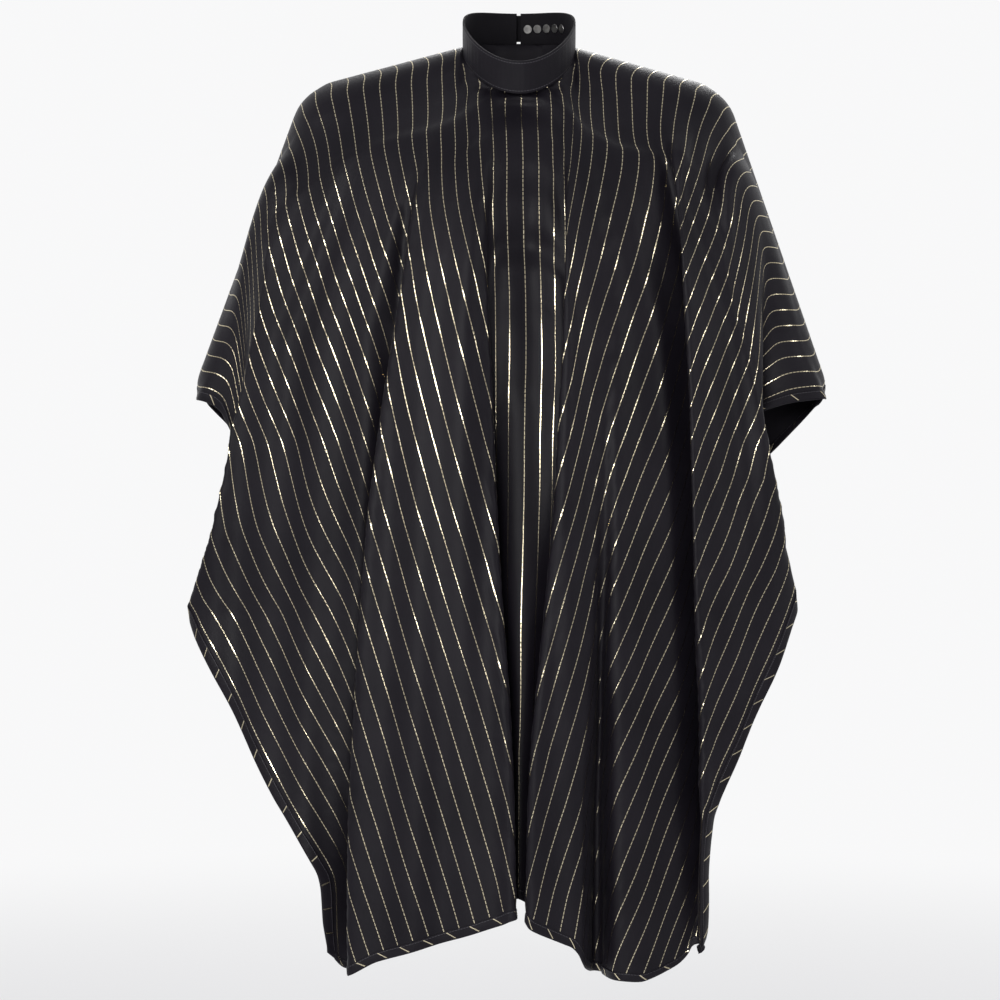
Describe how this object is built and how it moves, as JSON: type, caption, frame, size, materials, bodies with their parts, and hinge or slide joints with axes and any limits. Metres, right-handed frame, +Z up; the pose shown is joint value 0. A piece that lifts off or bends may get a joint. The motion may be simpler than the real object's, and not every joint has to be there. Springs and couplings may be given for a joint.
{
  "type": "barber cape",
  "caption": "Pinstriped cloth cape that hangs from a snapped neckband over a seated or standing wearer, with bound hems.",
  "frame": {"origin": "centre of the neck opening, at the lower edge of the sides of the neckband", "axes": "+Z up, the front of the cape faces -Y, +X is to the right as seen from the front"},
  "size_m": [0.7524, 0.3393, 1.1469],
  "materials": {
    "cape_fabric": "smooth woven, soft sheen, gold pinstripes",
    "binding_fabric": "smooth bias binding",
    "band_fabric": "smooth woven",
    "band_lining": "matt woven",
    "interlining": "matt felted",
    "snap_metal": "satin nickel"
  },
  "bodies": {
    "cape": {"cape_cloth": "cape_fabric", "hem_binding_front": "binding_fabric", "hem_binding_left": "binding_fabric", "hem_binding_back": "binding_fabric", "hem_binding_right": "binding_fabric", "neckband_lining": "band_lining", "neckband_interlining": "interlining", "neckband_outer": "band_fabric", "snap_stud_1": "snap_metal", "snap_stud_back_1": "snap_metal", "snap_stud_2": "snap_metal", "snap_stud_back_2": "snap_metal", "snap_stud_3": "snap_metal", "snap_stud_back_3": "snap_metal", "snap_stud_4": "snap_metal", "snap_stud_back_4": "snap_metal", "snap_stud_5": "snap_metal", "snap_stud_back_5": "snap_metal"},
    "closing_tab": {"tab_lining": "band_lining", "tab_interlining": "interlining", "tab_outer": "band_fabric", "snap_socket_1": "snap_metal", "snap_cap_1": "snap_metal", "snap_socket_2": "snap_metal", "snap_cap_2": "snap_metal"}
  },
  "joints": [
    {"name": "tab_hinge", "type": "hinge", "parent": "cape", "child": "closing_tab", "pos_m": [-0.01145, 0.07304, 0.04215], "axis": [0, -0.2588, 0.9659], "range_deg": [0, 70]}
  ]
}
